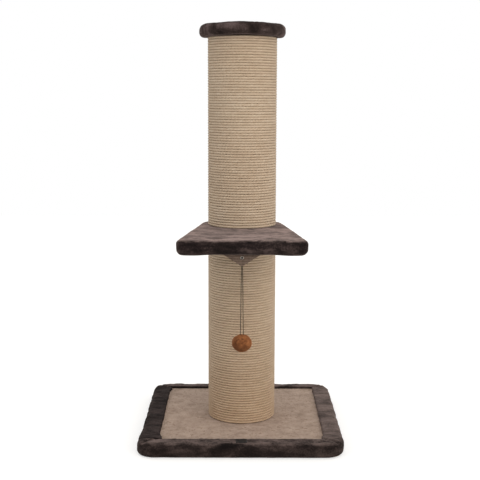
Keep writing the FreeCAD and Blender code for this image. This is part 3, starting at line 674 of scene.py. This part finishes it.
plushes = {name: plushMaterial("plush, " + name, nap) for name, nap in plush["naps"].items()}

# lumps fade out on faces that look down
plushShape = {
    "voxelMm": 2.2, "swellMm": 30, "swell": 1.1, "tuftMm": 8, "tuft": 0.8, "fade": 1.2, "fadeSlope": 1.6,
    "smooth": 3, "foldMm": 5, "fold": 2.5, "waverMm": 26, "waver": 1.1,
}


# even the mesh, round it off, and raise soft lumps of pile, but not where it rests on something; folds
# are sunk lines in plan, a bulge is a place, the reach round it and a push, and loft scales the lumps
def plushOver(bm, floorLevel, seed, folds=(), bulges=(), loft=1):
    bm = remeshed(bm, plushShape["voxelMm"])
    for _ in range(plushShape["smooth"]):
        bmesh.ops.smooth_vert(
            bm, verts=bm.verts[:], factor=0.5, use_axis_x=True, use_axis_y=True, use_axis_z=True,
        )
    bm.normal_update()
    for v in bm.verts:
        swell = noise.noise(v.co * perMm(plushShape["swellMm"]) + Vector((seed, 0, 0))) * plushShape["swell"]
        tuft = noise.noise(v.co * perMm(plushShape["tuftMm"]) + Vector((0, seed, 0))) * plushShape["tuft"]
        free = min(1, max(0, plushShape["fade"] + plushShape["fadeSlope"] * v.normal.z))
        rise = (swell + tuft) * loft * mm * free
        waver = noise.noise_vector(v.co * perMm(plushShape["waverMm"])) * plushShape["waver"] * loft * mm
        v.co += v.normal * rise + Vector((waver.x, waver.y, 0))
        v.co.z = max(v.co.z, floorLevel * mm)
        for start, end in folds:
            near, share = intersect_point_line(v.co.xy / mm, Vector(start), Vector(end))
            away = (v.co.xy / mm - near.xy).length / plushShape["foldMm"]
            if 0 < share < 1 and away < 1 and v.normal.z > 0:
                v.co.z -= plushShape["fold"] * mm * (1 - away * away) ** 2 * v.normal.z
        for place, reach, push in bulges:
            away = (v.co / mm - Vector(place)).length / reach
            if away < 1:
                v.co += Vector(push) * mm * (1 - away * away) ** 2
    return bm


# base border: four strips of plush wrapped round the board's edge, the front and back ones round the
# corners
border = {
    "half": 229, "front": -190, "back": 196, "side": 185, "top": 34, "corner": 42, "topRound": 11,
    "underRound": 11, "innerRound": 4, "seam": 0.4, "boardHalf": 223, "boardCorner": 30, "boardLow": 3,
    "deck": 28, "hem": 12, "hemLow": 1.4, "slack": 0.15, "mitreIn": 186, "mitreOut": 218,
    "labelHalf": 13, "labelFront": -219, "labelBack": -194,
    "seeds": {"front": 3, "back": 11, "left": 19, "right": 27},
    # the front strip stands out on the left
    "frontBulges": [((-218, -212, 12), 60, (-6.5, -0.5, 0))],
    # the side strips lap over the carpet's corners, and the left one stands out towards the front
    "leftBulges": [
        ((-225, -175, 15), 80, (-3.2, 0, 0)), ((-185, -183, 32), 38, (8, 0, 0)),
        ((-185, 190, 32), 26, (5, 0, 0)),
    ],
    "rightBulges": [((185, -183, 32), 34, (-6, 0, 0))],
}
front, back, side, seam = border["front"], border["back"], border["side"], border["seam"]


def borderStrip(edge, nap, cuts, folds=(), bulges=()):
    bm = softBlock(
        square(border["half"]), 0, border["top"], border["corner"], border["topRound"], border["underRound"],
    )
    for place, away in cuts:
        cutFlat(bm, Vector(place) * mm, away)
    rimLevel = border["top"] * mm - tiny
    for place, away in cuts:
        plane = Vector(place).dot(Vector(away)) * mm
        rim = edgesWhere(bm, lambda co: abs(co.dot(Vector(away)) - plane) < tiny and co.z > rimLevel)
        roundEdges(bm, rim, border["innerRound"], segments=3)
    bm = plushOver(bm, 0, border["seeds"][edge], folds, bulges)
    # the pile is pressed flat under the label
    for v in bm.verts:
        x, y = v.co.xy / mm
        if abs(x) < border["labelHalf"] and border["labelFront"] < y < border["labelBack"]:
            v.co.z = min(v.co.z, border["top"] * mm)
    board = softBlock(
        square(border["boardHalf"] + border["slack"]), border["boardLow"] - border["slack"],
        border["deck"] + border["slack"], border["boardCorner"],
    )
    hemSide, hemFront, hemBack = side + border["hem"], front - border["hem"], back + border["hem"]
    hemEdge = [(-hemSide, hemFront), (hemSide, hemFront), (hemSide, hemBack), (-hemSide, hemBack)]
    hem = softBlock(hemEdge, -spare, border["hemLow"])
    strip = meshOf(carve(bm, [board, hem]))
    name = "border_" + edge
    piece = addPiece(name + "_plush", strip, plushes[nap], "stand", [name])


# the front and back strips are folded at their two corners
def mitresAt(edge):
    far = border["mitreOut"]
    return [((x * border["mitreIn"], edge), (x * far, far if edge > 0 else -far)) for x in (-1, 1)]


frontCut, backCut = ((0, front - seam, 0), (0, 1, 0)), ((0, back + seam, 0), (0, -1, 0))
leftCut, rightCut = ((-side, 0, 0), (1, 0, 0)), ((side, 0, 0), (-1, 0, 0))
sideEnds = [((0, back - seam, 0), (0, 1, 0)), ((0, front + seam, 0), (0, -1, 0))]
borderStrip("front", "brushed", [frontCut], mitresAt(front), border["frontBulges"])
borderStrip("back", "brushed", [backCut], mitresAt(back))
# the side strips take the painted dark and painted light copies
borderStrip("left", "painted shade nap", sideEnds + [leftCut], bulges=border["leftBulges"])
borderStrip("right", "painted light nap", sideEnds + [rightCut], bulges=border["rightBulges"])
print("border wrapped")

# perch cover: plush sewn round the tongue-shaped board
perch = {
    "front": 258.5, "back": 82, "frontHalf": 142, "backHalf": 90.1, "low": 458, "top": 490, "corner": 16,
    "backCorner": 48, "topRound": 8, "underRound": 17, "boardFront": 252.5, "boardBack": 76,
    "boardFrontHalf": 136, "boardBackHalf": 85, "boardLow": 464, "boardTop": 484, "boardCorner": 9,
    "boardBackCorner": 42, "stud": 4.5, "slack": 0.15, "seed": 35, "loft": 0.55,
    # the gathered cloth hangs a little at the front corners
    "gathers": [((-108, -246, 460), 50, (0, 0, -2)), ((108, -246, 460), 50, (0, 0, -2))],
}
slack = perch["slack"]


def tongue(front, back, frontHalf, backHalf):
    return [(-frontHalf, -front), (frontHalf, -front), (backHalf, back), (-backHalf, back)]


coverEdge = tongue(perch["front"], perch["back"], perch["frontHalf"], perch["backHalf"])
cover = softBlock(
    coverEdge, perch["low"], perch["top"], perch["corner"], perch["topRound"], perch["underRound"],
    perch["backCorner"],
)
cover = plushOver(cover, perch["low"], perch["seed"], bulges=perch["gathers"], loft=perch["loft"])
boardEdge = tongue(
    perch["boardFront"] + slack, perch["boardBack"] + slack, perch["boardFrontHalf"] + slack,
    perch["boardBackHalf"] + slack,
)
board = softBlock(
    boardEdge, perch["boardLow"] - slack, perch["boardTop"] + slack, perch["boardCorner"],
    backRound=perch["boardBackCorner"],
)
studHole = cylinder(perch["stud"], perch["low"] - spare, perch["top"] + spare, segments=24)
coverMesh = meshOf(carve(cover, [board, studHole]))
perchCover = addPiece(
    "perch_plush", coverMesh, plushes["stroked flat"], "stand", ["platform_cover"],
)

# cap cover: plush over a round board, turned under at the rim
cap = {
    "reach": 99, "low": 922.5, "top": 950.5, "round": 11, "boardReach": 93, "boardLow": 928.5,
    "boardTop": 944.5, "turnedTo": 62, "seed": 43, "loft": 0.7,
    # the cover is drawn up a little at the front and hangs at the sides
    "bulges": [
        ((0, -99, 925), 75, (0, 0, 2.2)), ((-92, 0, 924), 45, (0, 0, -2.2)),
        ((92, 0, 924), 45, (0, 0, -2.2)),
    ],
}
crown = cylinder(cap["reach"], cap["low"], cap["top"], segments=96)
roundEdges(crown, edgesWhere(crown, lambda co: co.z > cap["top"] * mm - tiny), cap["round"], segments=6)
roundEdges(crown, edgesWhere(crown, lambda co: co.z < cap["low"] * mm + tiny), cap["round"], segments=6)
crown = plushOver(crown, cap["low"], cap["seed"], bulges=cap["bulges"], loft=cap["loft"])
disc = cylinder(cap["boardReach"] + slack, cap["boardLow"] - slack, cap["boardTop"] + slack, segments=96)
opening = cylinder(cap["turnedTo"], cap["low"] - spare, cap["boardLow"] + slack, segments=64)
crownMesh = meshOf(carve(crown, [disc, opening]))
capCover = addPiece("cap_plush", crownMesh, plushes["stroked round"], "stand", ["cap_cover"])
print("perch and cap covered")

# looped carpet on the base: beige, short dense loops, matt
carpet = {
    "half": 223, "corner": 30, "low": 21, "top": 28, "gridMm": 1.9, "loopMm": 4.2, "loop": 0.4,
    "dipMm": 60, "dip": 0.25, "sunk": 0.3, "bolt": 4.5, "dark": "#836f60", "mid": "#ad9685",
    "light": "#c6b09f", "fleck": "#8f7866", "fleckMm": 6, "patchMm": 26, "fibreMm": 1.5,
}
carpetMaterial, tree = newMaterial("loop pile carpet")
place = addNode(tree, "TexCoord").outputs["Object"]
loops = addNode(
    tree, "TexVoronoi", values={"Scale": perMm(carpet["loopMm"]), "Randomness": 0.8},
    links={"Vector": place},
)
patch = addNode(
    tree, "TexNoise", values={"Scale": perMm(carpet["patchMm"]), "Detail": 4, "Roughness": 0.65},
    links={"Vector": place},
)
fibre = addNode(
    tree, "TexNoise", values={"Scale": perMm(carpet["fibreMm"]), "Detail": 3}, links={"Vector": place},
)
mixed = addNode(
    tree, "Mix", {"data_type": "FLOAT"}, {0: 0.45}, {2: patch.outputs["Fac"], 3: fibre.outputs["Fac"]},
)
tone = addNode(
    tree, "ValToRGB", links={"Fac": mixed.outputs[0]},
    stops=[(0.3, carpet["dark"]), (0.7, carpet["light"]), (0.48, carpet["mid"])],
)
# a few darker loops
spots = addNode(
    tree, "TexNoise", values={"Scale": perMm(carpet["fleckMm"]), "Detail": 1}, links={"Vector": place},
)
fleck = addNode(
    tree, "MapRange", values={"From Min": 0.62, "From Max": 0.72}, links={"Value": spots.outputs["Fac"]},
)
tone = addNode(
    tree, "Mix", {"data_type": "RGBA"}, {7: linear(carpet["fleck"])},
    {0: fleck.outputs[0], 6: tone.outputs["Color"]},
)
crest = addNode(
    tree, "MapRange", values={"From Max": 0.7, "To Min": 1.0, "To Max": 0.0},
    links={"Value": loops.outputs["Distance"]},
)
bump = addNode(
    tree, "Bump", values={"Strength": 0.7, "Distance": 0.8 * mm}, links={"Height": crest.outputs[0]},
)
surface = addNode(
    tree, "BsdfPrincipled", values={"Roughness": 0.95, "Specular IOR Level": 0.1, "Sheen Weight": 0.1},
    links={"Base Color": tone.outputs[2], "Normal": bump.outputs["Normal"]},
)
addNode(tree, "OutputMaterial", links={"Surface": surface.outputs[0]})

rug = softBlock(square(carpet["half"]), carpet["low"], carpet["top"], carpet["corner"])
rug = remeshed(rug, carpet["gridMm"])
for v in rug.verts:
    if v.co.z > (carpet["top"] - 1) * mm:
        # flat under the border
        shown = abs(v.co.x) < side * mm and front * mm < v.co.y < back * mm
        cell = noise.cell(v.co * perMm(carpet["loopMm"])) - 0.5
        wave = noise.noise(v.co * perMm(carpet["dipMm"]))
        lift = cell * carpet["loop"] + wave * carpet["dip"] - carpet["sunk"]
        v.co.z = carpet["top"] * mm + lift * mm * shown
boltHole = cylinder(carpet["bolt"], carpet["low"] - spare, carpet["top"] + spare, segments=24)
rugMesh = meshOf(carve(rug, [boltHole]))
rugPiece = addPiece("base_rug", rugMesh, carpetMaterial, "stand", ["base_carpet"])
print("carpet laid")

# cloth tab: a triangle of short-napped knit that hangs from its stapled hem
tab = {
    "half": 38, "tip": 1.5, "low": 431.5, "thick": 2.0, "columns": 28, "rows": 12, "hangTop": 451.5,
    "hem": [(-223.1, 457.1), (-226, 457.1), (-229, 457.0), (-231.1, 456.5), (-232.3, 455.3)],
    "front": -232.5, "eyelet": 450, "hole": 2.5, "punch": 10, "ripple": 1.0, "ripples": 7,
    "dark": "#3d322b", "light": "#897567", "rowMm": 3.4, "napMm": 2.5,
    "flat": (0.076, 0.0365), "area": 0.00188,
}
tabMaterial, tree = newMaterial("napped knit")
place = addNode(tree, "TexCoord").outputs["Object"]
# courses of the knit, drawn at about twice their real spacing so that they show
courses = addNode(
    tree, "TexWave", {"bands_direction": "Z"},
    {"Scale": perBand(tab["rowMm"]), "Distortion": 1.0, "Detail": 2}, {"Vector": place},
)
nap = addNode(tree, "TexNoise", values={"Scale": perMm(tab["napMm"]), "Detail": 3}, links={"Vector": place})
mixed = addNode(
    tree, "Mix", {"data_type": "FLOAT"}, {0: 0.6}, {2: courses.outputs["Fac"], 3: nap.outputs["Fac"]},
)
tone = addNode(
    tree, "ValToRGB", links={"Fac": mixed.outputs[0]}, stops=[(0.3, tab["dark"]), (0.72, tab["light"])],
)
bump = addNode(
    tree, "Bump", values={"Strength": 0.5, "Distance": 0.5 * mm}, links={"Height": mixed.outputs[0]},
)
surface = addNode(
    tree, "BsdfPrincipled",
    values={
        "Roughness": 0.92, "Specular IOR Level": 0.15, "Sheen Weight": 0.2,
        "Sheen Tint": linear(plush["sheenTint"]),
    },
    links={"Base Color": tone.outputs["Color"], "Normal": bump.outputs["Normal"]},
)
addNode(tree, "OutputMaterial", links={"Surface": surface.outputs[0]})

cloth = bmesh.new()
hemRows = len(tab["hem"])
rows = hemRows + tab["rows"]
hemFoot = tab["hem"][-1][1]
bmesh.ops.create_grid(cloth, x_segments=tab["columns"], y_segments=rows - 1, size=0.5)
for v in cloth.verts:
    row = round((0.5 - v.co.y) * (rows - 1))
    across = 2 * v.co.x
    down = max(0, row - hemRows + 1) / tab["rows"]
    if row < hemRows:
        y, z = tab["hem"][row]
    else:
        y, z = tab["front"], hemFoot + (tab["low"] - hemFoot) * down
    half = tab["half"] + (tab["tip"] - tab["half"]) * down
    y += tab["ripple"] * sin(across * tab["ripples"]) * down * (1 - down)
    v.co = Vector((across * half, y, z)) * mm
bmesh.ops.recalc_face_normals(cloth, faces=cloth.faces[:])
bmesh.ops.solidify(cloth, geom=cloth.faces[:], thickness=tab["thick"] * mm)
bmesh.ops.recalc_face_normals(cloth, faces=cloth.faces[:])
# the middle of the hanging cloth's thickness comes to the tab's plane
hanging = [v.co.y for v in cloth.verts if v.co.z < tab["hangTop"] * mm]
shift = tab["front"] * mm - sum(hanging) / len(hanging)
bmesh.ops.translate(cloth, verts=cloth.verts[:], vec=(0, shift, 0))
eyeletPlace = (0, tab["front"] * mm, tab["eyelet"] * mm)
punch = cylinder(tab["hole"], -tab["punch"], tab["punch"], segments=24)
bmesh.ops.rotate(punch, verts=punch.verts[:], matrix=Matrix.Rotation(pi / 2, 3, "X"))
bmesh.ops.translate(punch, verts=punch.verts[:], vec=eyeletPlace)
tabPiece = addPiece("hanging_tab", meshOf(carve(cloth, [punch])), tabMaterial, None)
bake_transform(tabPiece)
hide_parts("toy_tab", "tab_hem")
print("tab hung")

# eyelet: a nickel-plated ring with rolled rims, slightly worn
eyelet = {
    "bore": 2.0, "flange": 3.5, "long": 3.7, "roll": 0.55, "shoulder": (0.4, 0.25), "dish": 0.05,
    "lip": 0.2, "sheet": 0.15, "wall": 0.5, "steps": 36, "wearMm": 2, "dull": "#b0aba3", "bright": "#dad6cf",
}
nickelMaterial, tree = newMaterial("nickel plate")
place = addNode(tree, "TexCoord").outputs["Object"]
wear = addNode(
    tree, "TexNoise", values={"Scale": perMm(eyelet["wearMm"]), "Detail": 4}, links={"Vector": place},
)
rough = addNode(
    tree, "MapRange", values={"From Min": 0.3, "From Max": 0.7, "To Min": 0.18, "To Max": 0.4},
    links={"Value": wear.outputs["Fac"]},
)
tone = addNode(
    tree, "ValToRGB", links={"Fac": wear.outputs["Fac"]},
    stops=[(0.3, eyelet["dull"]), (0.7, eyelet["bright"])],
)
surface = addNode(
    tree, "BsdfPrincipled", values={"Metallic": 1.0},
    links={"Base Color": tone.outputs["Color"], "Roughness": rough.outputs[0]},
)
addNode(tree, "OutputMaterial", links={"Surface": surface.outputs[0]})

ring = bmesh.new()
bore, flange, roll = eyelet["bore"], eyelet["flange"], eyelet["roll"]
outer = -eyelet["long"] / 2
inner = outer + roll + eyelet["sheet"]
shoulderOut, shoulderIn = eyelet["shoulder"]
# one rolled rim, from the bore out and back, and then the other
rim = [
    (bore, outer + roll), (bore + roll * shoulderOut, outer + roll * shoulderIn), (bore + roll, outer),
    (flange - roll, outer + eyelet["dish"]), (flange, outer + roll), (flange - eyelet["lip"], inner),
    (bore + eyelet["wall"], inner),
]
profile = rim + [(reach, -along) for reach, along in reversed(rim)]
corners = [
    ring.verts.new((reach * mm, tab["front"] * mm + along * mm, tab["eyelet"] * mm))
    for reach, along in profile
]
loop = [ring.edges.new((a, b)) for a, b in zip(corners, corners[1:] + corners[:1])]
bmesh.ops.spin(
    ring, geom=corners + loop, cent=eyeletPlace, axis=(0, 1, 0), angle=2 * pi, steps=eyelet["steps"],
    use_merge=True, use_duplicate=False,
)
bmesh.ops.remove_doubles(ring, verts=ring.verts[:], dist=tiny)
bmesh.ops.recalc_face_normals(ring, faces=ring.faces[:])
addPiece("eyelet_ring", meshOf(ring), nickelMaterial, "tab", ["tab_eyelet"])

# woven label sewn on the front strip, left blank: black satin ribbon
label = {
    "wide": 24, "front": -218, "deep": 22, "low": 34.05, "thick": 0.7, "curl": 0.5, "steps": 12,
    "colour": "#0e0d0e", "thread": "#1a191a", "threadMm": 0.6,
}
labelMaterial, tree = newMaterial("satin ribbon")
place = addNode(tree, "TexCoord").outputs["Object"]
warp = addNode(
    tree, "TexWave", {"bands_direction": "X"},
    {"Scale": perBand(label["threadMm"]), "Distortion": 0.4}, {"Vector": place},
)
tone = addNode(
    tree, "ValToRGB", links={"Fac": warp.outputs["Fac"]},
    stops=[(0.2, label["colour"]), (0.9, label["thread"])],
)
bump = addNode(
    tree, "Bump", values={"Strength": 0.4, "Distance": 0.15 * mm}, links={"Height": warp.outputs["Fac"]},
)
surface = addNode(
    tree, "BsdfPrincipled", values={"Roughness": 0.6, "Specular IOR Level": 0.25},
    links={"Base Color": tone.outputs["Color"], "Normal": bump.outputs["Normal"]},
)
addNode(tree, "OutputMaterial", links={"Surface": surface.outputs[0]})

ribbon = bmesh.new()
bmesh.ops.create_grid(ribbon, x_segments=label["steps"], y_segments=label["steps"], size=0.5)
for v in ribbon.verts:
    along = 0.5 + v.co.y
    lift = label["low"] + label["thick"] + label["curl"] * (2 * v.co.x) ** 4 * along
    v.co = Vector((v.co.x * label["wide"], label["front"] + along * label["deep"], lift)) * mm
bmesh.ops.recalc_face_normals(ribbon, faces=ribbon.faces[:])
bmesh.ops.solidify(ribbon, geom=ribbon.faces[:], thickness=label["thick"] * mm)
bmesh.ops.recalc_face_normals(ribbon, faces=ribbon.faces[:])
addPiece("blank_label", meshOf(ribbon), labelMaterial, "stand", ["base_label"])
print("small pieces made")

# hidden woodwork and fixings keep their CAD shapes
hidden = {
    # pressed wood fibre, tan with darker flecks
    "fibreboard": {
        "nodes": [
            "base_board", "platform_board", "cap_board", "lower_foot_plug", "lower_head_plug",
            "upper_foot_plug", "upper_head_plug",
        ],
        "dark": "#8a6a48", "light": "#b8946a", "grainMm": 3, "rough": 0.85, "metal": 0.0,
    },
    # brown paper wound in a spiral
    "kraft card": {
        "nodes": ["lower_tube", "upper_tube"],
        "dark": "#8f6e4c", "light": "#ad8a63", "grainMm": 6, "rough": 0.8, "metal": 0.0,
    },
    # dull blue-grey plating
    "zinc-plated steel": {
        "nodes": [
            "base_bolt", "base_washer", "platform_stud", "cap_bolt", "lower_foot_tnut", "lower_head_tnut",
            "upper_foot_tnut", "upper_head_tnut", "lower_nails", "upper_nails", "border_staples",
            "tab_staples",
        ],
        "dark": "#9a9da0", "light": "#c2c4c6", "grainMm": 4, "rough": 0.38, "metal": 1.0,
    },
}
for name, look in hidden.items():
    material, tree = newMaterial(name)
    place = addNode(tree, "TexCoord").outputs["Object"]
    grain = addNode(
        tree, "TexNoise", values={"Scale": perMm(look["grainMm"]), "Detail": 4, "Roughness": 0.6},
        links={"Vector": place},
    )
    tone = addNode(
        tree, "ValToRGB", links={"Fac": grain.outputs["Fac"]},
        stops=[(0.3, look["dark"]), (0.7, look["light"])],
    )
    bump = addNode(
        tree, "Bump", values={"Strength": 0.2, "Distance": 0.2 * mm}, links={"Height": grain.outputs["Fac"]},
    )
    surface = addNode(
        tree, "BsdfPrincipled", values={"Roughness": look["rough"], "Metallic": look["metal"]},
        links={"Base Color": tone.outputs["Color"], "Normal": bump.outputs["Normal"]},
    )
    addNode(tree, "OutputMaterial", links={"Surface": surface.outputs[0]})
    for node in look["nodes"]:
        for slot in nodes[node].material_slots:
            slot.material = material
print("hidden pieces finished")
